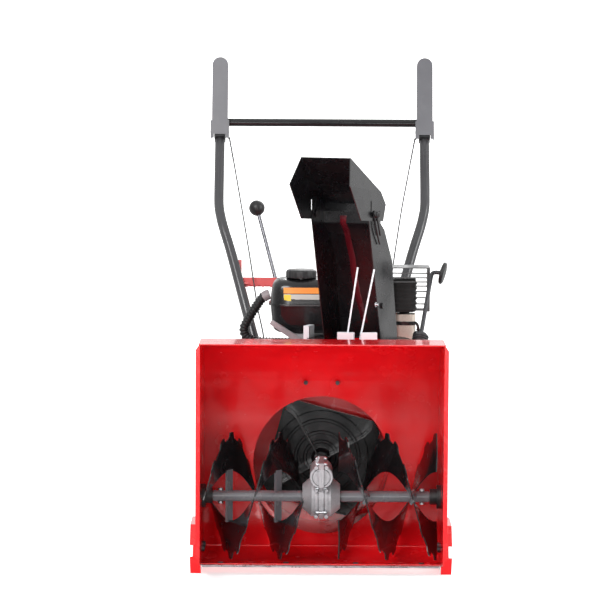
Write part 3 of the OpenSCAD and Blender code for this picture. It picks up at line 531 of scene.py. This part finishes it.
def impeller():
    """A square back plate with folded edges and pressed rings, four paddles with bent tips and a hub."""
    half, rim = 118.0, 151.5
    front, back, fold_front, fold = 405, 407.5, 393, 2.2
    s = Shape(Matrix.Translation((0, 0, IMPELLER_Z)) @ Matrix.Rotation(math.radians(15), 4, "Y"))
    edge = math.degrees(math.acos(half / rim))
    outline = [p for k in range(4) for p in arc(0, 0, rim, 90 * k + edge, 90 * k + 90 - edge, 6)]
    s.slab(outline, front, back, "y", [arc(0, 0, 111, 0, 355, 71)])
    chord = rim * math.sin(math.radians(edge)) - 2
    for side in (-1, 1):
        across = sorted((side * half, side * (half - fold)))
        s.box((-chord, chord), (fold_front, back), across)
        s.box(across, (fold_front, back), (-chord, chord))
    beads = [(0, front), (34, front), (36, 402.5), (41, 402.5), (43, front), (56, front), (58, 402),
             (63, 402), (65, front), (85, front), (87, 402), (92, 402), (94, front), (113, front),
             (113, back), (0, back)]
    s.lathe(beads, (0, 0, 0), (0, 1, 0), 72)
    s.piece("impeller_plate", "black_paint", "impeller_set", "impeller", dissolve=False, sharp=30)
    hub = Shape()
    hub.lathe([(9.7, 334), (16.5, 334), (18, 336), (18, 396), (24, 404), (9.7, 404)],
              (0, 0, IMPELLER_Z), (0, 1, 0), 40)
    hub.piece("impeller_hub", "black_paint", "impeller_set", dissolve=False, bevel=0.8)
    path = [(17, 0), (118, 0), (134, 4), (147, 12)]
    near, far, thick = 336, 400, 1.5
    for k in range(4):
        spin = Matrix.Rotation(math.radians(60 + 90 * k), 4, "Y")
        blade = Shape(Matrix.Translation((0, 0, IMPELLER_Z)) @ spin)
        for (x0, z0), (x1, z1) in zip(path, path[1:]):
            corners = [(x0, near, z0), (x0, far, z0), (x1, far, z1), (x1, near, z1)]
            verts = [(x, d, z + t) for t in (-thick, thick) for x, d, z in corners]
            faces = [(0, 1, 2, 3), (4, 7, 6, 5), (0, 3, 7, 4), (1, 5, 6, 2)]
            if x0 == path[0][0]:
                faces.append((0, 4, 5, 1))
            if x1 == path[-1][0]:
                faces.append((3, 2, 6, 7))
            blade.add(verts, faces)
        blade.piece(f"impeller_blade_{k + 1}", "black_paint", "impeller_set", dissolve=False, bevel=0.7)
    done("impeller")


def gearbox():
    """The cast halves with rounded edges, the boss's rings, side ribs, bolts and a lifting ear."""
    for side in ("left", "right"):
        soften("gearbox_half_" + side, 1.8, 3)
        done("gearbox_half_" + side)
    extras = Shape()
    for side in (-1, 1):
        outer = [(side * x, z) for x, z in arc(0, IMPELLER_Z, 25.5, -74, 70, 18)]
        inner = [(side * x, z) for x, z in arc(0, IMPELLER_Z, 21, 70, -74, 18)]
        extras.slab(outer + inner, 91.5, 98, "y")
        rib = arc(AUGER_D, AUGER_Z, 50, 161, 226, 10) + arc(AUGER_D, AUGER_Z, 40, 226, 161, 10)
        extras.slab(rib, side * 8, side * 15)
        for z, d in ((IMPELLER_Z + 22, 91.5), (203, 103), (141, 119)):
            extras.hexagon((side * 11.5, d, z), (0, -1, 0), 8.5, 6)
    ear = [(-14, 262), (-8, 262), (-6.5, 272), (-3.5, 278), (-6.5, 281), (-11.5, 276), (-13.5, 268)]
    extras.slab(ear, 108, 112, "y")
    extras.piece("gearbox_details", "cast_alloy", "machine", bevel=0.5)


# ---- Chute ----

CHUTE = Matrix.Translation((88, 378, 0)) @ Matrix.Rotation(math.radians(-24), 4, "Z")


def wing_nuts():
    """The two wing nuts on the deflector's hinge, each with its washer and stud end."""
    hinge_y, hinge_z, face = -92, 821, 76.2
    for side, name in ((-1, "left"), (1, "right")):
        s = Shape(CHUTE)
        profile = [(9, 66), (9, 68), (7.5, 69.6), (4, 69.9), (4, face), (10.5, face + 0.2),
                   (10.5, face + 1.8), (8, face + 2), (7.6, face + 9), (5.5, face + 10.5),
                   (4, face + 10.6), (4, face + 13), (0, face + 13)]
        s.lathe(profile, (0, hinge_y, hinge_z), (side, 0, 0), 28)
        for w in (-1, 1):
            wing = [(5, 818), (5, 825.5), (13, 830), (18.5, 828.5), (19, 823.5), (14, 819.5)]
            s.slab([(hinge_y + w * y, z) for y, z in wing], side * (face + 4), side * (face + 7.6))
        replaced = ["deflector_nuts"] if side > 0 else []
        s.piece(f"wing_nut_{name}", "black_plastic", "deflector_body", *replaced, bevel=0.7)
    done("deflector_nuts")


def chute_details():
    """The rolled fold down the back wall, painted dark red as a painted reflection of the red housing, two
    clip wires and a bolt on the right wall.
    """
    s = Shape(CHUTE)
    wall = [(815, -49), (798.5, -49), (781.5, -25), (745, -1), (708, 22.5), (667, 29.5), (627, 36.5),
            (590, 45), (556, 52)]
    top, height = wall[0][0], wall[0][0] - wall[-1][0]
    verts, faces = [], []
    for z, y in wall:
        x = -28 + 14 * (top - z) / height - 13 * math.sin(math.pi * (top - z) / height)
        for dx, dy in ((0, -1.4), (3, -3.0), (13, -3.0), (16, -1.4), (16, 0.4), (0, 0.4)):
            verts.append((x + dx, y + dy - 0.6, z))
    for k in range(len(wall) - 1):
        for i in range(6):
            a, b = 6 * k + i, 6 * k + (i + 1) % 6
            faces.append((a, b, b + 6, a + 6))
    faces += [list(range(6)), [6 * len(wall) - 6 + i for i in range(6)]]
    s.add(verts, faces)
    # The fold's dark red is a painted reflection of the red housing.
    s.piece("chute_fold", "black_paint", "chute_body", dissolve=False, sharp=60, paint=FOLD_PAINTED_RED_REFLECTION)
    wire = Shape(CHUTE)
    wire.tube([(77.5, -96, 812), (78.5, -88, 790), (77.5, -72, 764), (76.5, -62, 752)], 2.1, 10, 5)
    wire.tube([(77.5, -80, 812), (78.5, -74, 794), (77.5, -62, 772)], 2.1, 10, 5)
    wire.piece("deflector_clip", "black_plastic", "deflector_body", dissolve=False)
    bolt = Shape(CHUTE)
    bolt.lathe([(0, 73.4), (6, 73.4), (6, 74.6), (3.2, 74.8), (3.2, 79.6), (0, 80)],
               (0, -76, 612), (1, 0, 0), 20)
    bolt.piece("chute_bolt", "zinc_steel", "chute_body", bevel=0.3)


# ---- Tubes, cables and controls ----

HANDLE = [(260, 1019.7, 1148.3), (260, 983.5, 1074.1), (260, 947.4, 1000), (260, 900, 902.3), (260, 870, 841),
          (259, 852, 807), (254, 838, 780), (246, 822, 752), (226, 794.5, 691.5), (196, 747, 588),
          (172, 712, 505), (163.5, 700, 478), (155, 682, 440), (149, 668, 408), (145.5, 656, 385),
          (144.5, 648, 362), (144.5, 644, 330), (144.5, 640, 290), (144.5, 640, 250)]
CABLE_LEFT = [(-236, 929, 978), (-215, 880, 872), (-182, 790, 698), (-159, 700, 571), (-143, 640, 505),
              (-130, 680, 410), (-118, 700, 365), (-118, 700, 337)]
CABLE_RIGHT = [(236, 929, 978), (215, 880, 874), (197, 838, 780), (165, 730, 590), (143, 700, 498),
               (130, 690, 410), (118, 700, 365), (118, 700, 337)]
LEAD = [(231, 545, 530), (239, 543, 522), (243, 540, 502), (241, 545, 482), (235, 553, 467), (231, 557, 461)]
HOSE = [(-135, 600, 604), (-145, 600, 597), (-164, 600, 570), (-180, 600, 543), (-188.5, 600, 523),
        (-184, 597, 505), (-168, 592, 495), (-148, 588, 491), (-72, 585, 490)]
HANDLE_R, CABLE_R, LEAD_R, SPRING_R = 12.4, 1.7, 3.8, 0.5
BALL_R = 20
RIBS, RIB_GAP = (12.2, 12.2, 11.2, 10.0, 10.0, 11.2), 1.3


def handles():
    for side, node in ((-1, "handle_left"), (1, "handle_right")):
        s = Shape()
        s.tube([(side * x, d, z) for x, d, z in HANDLE], HANDLE_R, 28, 5)
        # The tubes' lifted black is painted sheen.
        s.piece(node + "_fine", "black_paint", "machine", node, dissolve=False, paint=TUBE_BLACK_PAINTED_SHEEN)
        done(node)


def cables():
    """The clutch cables with the small springs at their upper ends, and the plug lead."""
    s = Shape()
    for route in (CABLE_LEFT, CABLE_RIGHT):
        s.tube(route, CABLE_R, 10, 8)
    for route in (CABLE_LEFT, CABLE_RIGHT):
        a, b = Vector(route[0]), Vector(route[1])
        axis = (b - a).normalized()
        u = axis.orthogonal().normalized()
        w = axis.cross(u)
        coil = []
        for k in range(70):
            ang = k * math.pi / 3
            coil.append(a + axis * (4 + k * 0.9) + (u * math.cos(ang) + w * math.sin(ang)) * 2.1)
        s.tube(coil, SPRING_R, 6, 1)
    s.piece("clutch_cables", "black_rubber", "machine", "cables", dissolve=False, paint=DARK_METAL)
    lead = Shape()
    lead.tube(LEAD, LEAD_R, 14, 6)
    lead.piece("plug_lead", "black_rubber", "machine", dissolve=False)
    done("cables")


def hose():
    s = Shape()
    s.tube(HOSE, lambda i, last: RIBS[i % len(RIBS)], 24, 10, rib=RIB_GAP)
    s.piece("ribbed_hose_fine", "black_plastic", "machine", "ribbed_hose", dissolve=False, sharp=60)
    end = Shape()
    end.tube([(-127, 600, 607), (-135, 600, 604), (-143, 600, 598.5)], 12.45, 28, 3)
    end.piece("hose_fitting", "white_nylon", "machine", dissolve=False, bevel=0.6, paint=FITTING_GREY)
    done("ribbed_hose")


def speed_lever():
    foot, tip = Vector((-111.5, 811, 612)), Vector((-164, 870, 801.6))
    s = Shape()
    s.tube([foot, foot.lerp(tip, 0.3), foot.lerp(tip, 0.6), foot.lerp(tip, 0.93)], 4.6, 20, 3)
    s.lathe([(5.1, 804), (9, 804), (10, 805), (10, 817), (9, 818), (5.1, 818)],
            (foot.x, 0, foot.z), (0, 1, 0), 32)
    s.piece("speed_rod", "zinc_steel", "selector", "speed_lever", dissolve=False, paint=CHROME)
    ball = Shape()
    axis = (foot - tip).normalized()
    prof = [(BALL_R * math.sin(math.radians(a)), -BALL_R * math.cos(math.radians(a)))
            for a in range(0, 160, 8)]
    prof += [(7.2, 18.8), (6.2, 19.6), (4.9, 19.4)]
    ball.lathe(prof, tip, axis, 40)
    ball.piece("speed_ball", "black_plastic", "selector", "speed_knob", dissolve=False)
    done("speed_lever", "speed_knob")


def crank():
    top, way = Vector((262, 470, 672)), Vector((-30.5, -98, -152))
    s = Shape()
    route = [(285.6, 470, 671.8), (278, 470, 672), (272, 470, 672.3), (265, 469, 671), (261.3, 466, 666)]
    s.tube(route + [top + way * t for t in (0.09, 0.3, 0.7, 1.34)], 4.9, 20, 5)
    n = way.normalized()
    u = n.orthogonal().normalized()
    w = n.cross(u)
    worm, length = top + way * 0.91, way.length * 0.17
    s.lathe([(5, 0), (14, 0), (14, length), (5, length)], worm, way, 32)
    steps, step_turn = 60, 0.42
    thread = []
    for k in range(steps + 1):
        out = u * math.cos(k * step_turn) + w * math.sin(k * step_turn)
        thread.append(worm + n * (3 + (length - 6) * k / steps) + out * 16.5)
    s.tube(thread, 3.2, 8, 1)
    s.piece("crank_rod", "zinc_steel", "crank", "chute_crank", dissolve=False, paint=DARK_METAL)
    knob = Shape()
    a, b = Vector((281.3, 470.8, 672.5)), Vector((293, 468.4, 669.6))
    h = (b - a).length
    profile = [(0, 0.1), (9, 0.1), (12, 2), (22, 2.5), (25.5, 3.6), (26.9, 6), (26.6, 9), (24, 11.4),
               (20, h - 0.1), (6, h - 1.6), (0, h - 1.8)]
    knob.lathe(profile, a, b - a, 96, lambda t, r, z: 1 - (0.025 if r > 24 and math.cos(24 * t) > 0.3 else 0))
    knob.piece("crank_knob_fine", "black_plastic", "crank", "crank_knob", dissolve=False, sharp=50)
    done("chute_crank", "crank_knob")


# ---- Engine ----

LOOP_SIDES = 64


def superellipse(x0, x1, d0, d1, power):
    """A rectangle's outline with softly rounded corners."""
    cx, cd, rx, rd = (x0 + x1) / 2, (d0 + d1) / 2, (x1 - x0) / 2, (d1 - d0) / 2
    out = []
    for k in range(LOOP_SIDES):
        a = 2 * math.pi * (k + 0.5) / LOOP_SIDES
        c, s = math.cos(a), math.sin(a)
        x = math.copysign(abs(c) ** (2 / power), c)
        d = math.copysign(abs(s) ** (2 / power), s)
        out.append((cx + rx * x, cd + rd * d))
    return out


def stacked(loops):
    """The points and faces of a closed shell through a stack of outlines."""
    verts, faces = [v for loop in loops for v in loop], []
    for i in range(len(loops) - 1):
        for k in range(LOOP_SIDES):
            a, b = i * LOOP_SIDES + k, i * LOOP_SIDES + (k + 1) % LOOP_SIDES
            faces.append((a, b, b + LOOP_SIDES, a + LOOP_SIDES))
    faces.append(list(range(LOOP_SIDES)))
    faces.append([(len(loops) - 1) * LOOP_SIDES + k for k in range(LOOP_SIDES)])
    return verts, faces


def tank_front(x, z):
    """The depth of the tank's front face."""
    inset = 6 + 2.5 * max(0.0, z - 610) / 19
    u = abs((x + 18.5) / (110.5 - inset))
    return 508 + inset + 76 * (1 - (1 - u ** 5) ** 0.2)


def label(name, paint, x0, x1, z0, z1, lift=0.0):
    """A plain stick-on strip that follows the tank's front."""
    s = Shape()
    cols, rows = 12, 3
    grid = [(x0 + (x1 - x0) * i / cols, z0 + (z1 - z0) * j / rows)
            for j in range(rows + 1) for i in range(cols + 1)]
    front = [(x, tank_front(x, z) - 0.5 - lift, z) for x, z in grid]
    back = [(x, tank_front(x, z) + 0.4, z) for x, z in grid]
    n, w = len(grid), cols + 1
    faces = []
    for j in range(rows):
        for i in range(cols):
            a = j * w + i
            faces += [(a, a + 1, a + w + 1, a + w), (n + a, n + a + w, n + a + w + 1, n + a + 1)]
    rim = list(range(cols)) + [cols + w * j for j in range(rows)] + [n - 1 - i for i in range(cols)] \
        + [w * (rows - j) for j in range(rows)]
    for a, b in zip(rim, rim[1:] + rim[:1]):
        faces.append((a, n + a, n + b, b))
    s.add(front + back, faces)
    s.piece(name, "black_paint", "machine", dissolve=False, sharp=50, paint=paint)


def fuel_tank():
    base, seam, top = 517.0, 586.0, 651.0
    levels = [(base + 0.2, 34), (base + 2.5, 22), (base + 10, 12.5), (base + 26, 8.5), (seam - 12, 6),
              (seam - 3, 5.2), (seam - 0.5, 4.6), (seam, 0.6), (seam + 3.4, 0.6), (seam + 4, 4.6),
              (seam + 8, 5), (seam + 24, 6), (top - 22, 8.5), (top - 13, 12), (top - 6, 19), (top - 2, 30),
              (top - 0.2, 48)]
    loops = []
    for z, inset in levels:
        loop = superellipse(-129 + inset, 92 - inset, 508 + inset, 660 - inset, 5.0 if inset < 20 else 4.0)
        loops.append([(x, d, z) for x, d in loop])
    s = Shape()
    s.add(*stacked(loops))
    s.lathe([(20.8, -2), (20.8, 6), (19.5, 7.4), (0, 7.6)], (-50, 560, top - 0.1), (0, 0, 1), 40)
    s.piece("fuel_tank_fine", "black_paint", "machine", "fuel_tank", dissolve=False, sharp=50)
    done("fuel_tank")
    label("tank_strip", ORANGE, -92, -6, 616, 630)
    label("tank_panel", PALE, -92, -6, 597, 614)
    label("tank_panel_mark", YELLOW, -91, -74, 598, 613, 0.3)
    cap = Shape()
    cap.lathe([(21.1, 0.4), (36, 0.4), (37, 1.6), (37, 14), (35, 18), (30, 20.4), (12, 21.2), (0, 21.3)],
              (-50, 560, top), (0, 0, 1), 108,
              lambda a, r, h: 1 - (0.03 if r > 35.5 and math.cos(18 * a) > 0.2 else 0.0))
    cap.piece("fuel_cap_fine", "black_plastic", "cap", "fuel_cap", dissolve=False, sharp=50)
    done("fuel_cap")


def muffler():
    levels = [(571.2, 8), (572.5, 3)]
    for k in range(6):
        z = 578 + 12 * k
        levels += [(z - 0.2, 2.4), (z, 0.2), (z + 3.8, 0.2), (z + 4, 2.4)]
    levels += [(650, 3), (651.8, 9)]
    loops = []
    for z, inset in levels:
        loop = superellipse(166 + inset, 230 - inset, 520 + inset, 592 - inset, 5.0)
        loops.append([(x, d, z) for x, d in loop])
    s = Shape()
    s.add(*stacked(loops))
    s.lathe([(12, 566.2), (12, 571.5), (0, 571.5)], (200, 554, 0), (0, 0, 1), 28)
    s.piece("muffler_fine", "black_paint", "machine", "muffler", dissolve=False, sharp=40,
            paint=MUFFLER_BLACK)
    done("muffler")


def port_clamp():
    """A black band and a bracket loop round the exhaust port under the muffler."""
    s = Shape()
    s.slab(superellipse(177.2, 226.8, 523.2, 576.8, 5.0), 540, 549, "z")
    s.tube([(214, 521.5, 546), (228, 524, 545), (233, 526, 532), (232, 527, 516), (222, 522, 506)],
           3.4, 14, 5)
    s.piece("port_clamp", "black_paint", "machine", dissolve=False, sharp=50)


def floor_seam():
    """The raised weld line across the curved floor."""
    s = Shape()
    s.tube([(-268, 236.5, 52.6), (-90, 236.5, 52.6), (90, 236.5, 52.6), (268, 236.5, 52.6)], 1.7, 10, 1)
    s.piece("floor_seam", "red_paint", "machine", dissolve=False)


# ---- Wheels ----

WHEEL_D, WHEEL_Z, WHEEL_IN, TYRE_W, LUGS = 640, 165, 165, 100, 22


def tyres():
    s = Shape()
    prof = [(78.2, 12.5), (84, 8), (97, 4.5), (110, 2.2), (122, 0.8), (132, 0.4), (142, 2.4), (150, 6),
            (155.5, 12), (158.5, 22), (159.5, 36), (159.8, 50), (159.5, 64), (158.5, 78), (155.5, 88),
            (150, 94), (142, 97.6), (132, 99.6), (122, 99.2), (110, 97.8), (97, 95.5), (84, 92), (78.2, 87.5)]
    lug = ((4, 0.00), (20, 0.02), (36, 0.07), (47.5, 0.12))  # distance from the tyre's side, lean in radians
    highs = (150.5, 163.5, 164.9, 164.9)
    for side in (-1, 1):
        s.ring(prof, (side * WHEEL_IN, WHEEL_D, WHEEL_Z), (side, 0, 0), 96)
        for k in range(LUGS):
            for half in (0, 1):
                a0 = 2 * math.pi * (k + 0.5 * half) / LUGS
                verts = []
                for j, (u, lean) in enumerate(lug):
                    x = side * (WHEEL_IN + (u if half == 0 else TYRE_W - u))
                    low = 146 if j == 0 else 157
                    for w in (-0.055, 0.055):
                        a = a0 + lean + w * (1.0 if j else 1.25)
                        for r in (low, highs[j]):
                            verts.append((x, WHEEL_D + r * math.cos(a), WHEEL_Z + r * math.sin(a)))
                faces = []
                for j in range(len(lug) - 1):
                    o = 4 * j
                    faces += [(o, o + 1, o + 5, o + 4), (o + 2, o + 6, o + 7, o + 3),
                              (o + 1, o + 3, o + 7, o + 5), (o, o + 4, o + 6, o + 2)]
                faces += [(0, 2, 3, 1), (12, 13, 15, 14)]
                s.add(verts, faces)
    s.piece("tyre_pair", "tyre_rubber", "wheels", "tyres", dissolve=False, sharp=32)
    done("tyres")


auger_flights()
impeller()
gearbox()
wing_nuts()
chute_details()
handles()
cables()
hose()
speed_lever()
crank()
fuel_tank()
muffler()
port_clamp()
floor_seam()
tyres()

# ---- The rest keep the CAD shape, the listed ones with their edges rounded over ----

ROUNDED = {
    "housing_sheet": 0.7, "side_plate_left": 0.7, "side_plate_right": 0.7, "impeller_drum": 0.6,
    "scraper_bar": 0.6, "skid_shoe_left": 0.8, "skid_shoe_right": 0.8, "housing_bolts": 0.6,
    "auger_bearings": 1.2, "impeller_bearing": 0.8, "gearbox_bolts": 0.5, "auger_shaft": 0.5,
    "auger_tubes": 0.6, "impeller_pulley": 0.5, "chute_keepers": 1.0, "chute": 0.6, "deflector": 0.7,
    "nylon_ties": 0.5, "tractor_frame": 0.7, "belt_cover": 1.5, "engine_pulley": 0.5, "drive_disc": 0.6,
    "shift_fork": 0.5, "friction_wheel": 0.8, "axle": 0.4, "wheel_rims": 0.8, "engine_block": 1.4,
    "cylinder_head": 0.6, "recoil_cover": 1.5, "recoil_handle": 1.5, "muffler_guard": 0.4, "grips": 1.2,
    "lever_brackets": 1.2, "lever_left": 1.4, "lever_right": 1.4, "speed_panel": 0.6,
}
# The grips' and levers' mid grey is painted sheen on black plastic.
# The speed panel's paler red is painted light.
PAINT = {"cylinder_head": WARM_CAST, "muffler_guard": GUARD_BLACK, "housing_bolts": DARK_METAL,
         "auger_tubes": SHAFT_GREY, "auger_shaft": SHAFT_GREY, "speed_panel": PANEL_RED_PAINTED_LIGHT, "grips": GRIP_GREY_PAINTED_SHEEN,
         "lever_left": GRIP_GREY_PAINTED_SHEEN, "lever_right": GRIP_GREY_PAINTED_SHEEN,
         "chute": SHEET_BLACK, "deflector": SHEET_BLACK}
for node, width in ROUNDED.items():
    soften(node, width, paint=PAINT.get(node))
    done(node)
for node in frame["nodes"]:
    if node not in REPLACED:
        keep(node)


# ---- Floor and backdrop ----

SIDE, NEAR, FAR, HIGH = 14, -9, 10, 9


def stage_sheet(name, corners, glow):
    mesh = bpy.data.meshes.new(name)
    mesh.from_pydata(corners, [], [(0, 1, 2, 3)])
    obj = bpy.data.objects.new(name, mesh)
    bpy.context.collection.objects.link(obj)
    pale = Nodes(name + "_white")
    pale.set(Base_Color=(0.90, 0.90, 0.90, 1), Roughness=0.7,
             Emission_Color=(1, 1, 1, 1), Emission_Strength=glow)
    mesh.materials.append(pale.material)
    obj.visible_glossy = False


stage_sheet("floor", [(-SIDE, NEAR, 0), (SIDE, NEAR, 0), (SIDE, FAR, 0), (-SIDE, FAR, 0)], 0.55)
stage_sheet("backdrop", [(-SIDE, FAR, 0), (SIDE, FAR, 0), (SIDE, FAR, HIGH), (-SIDE, FAR, HIGH)], 1.0)
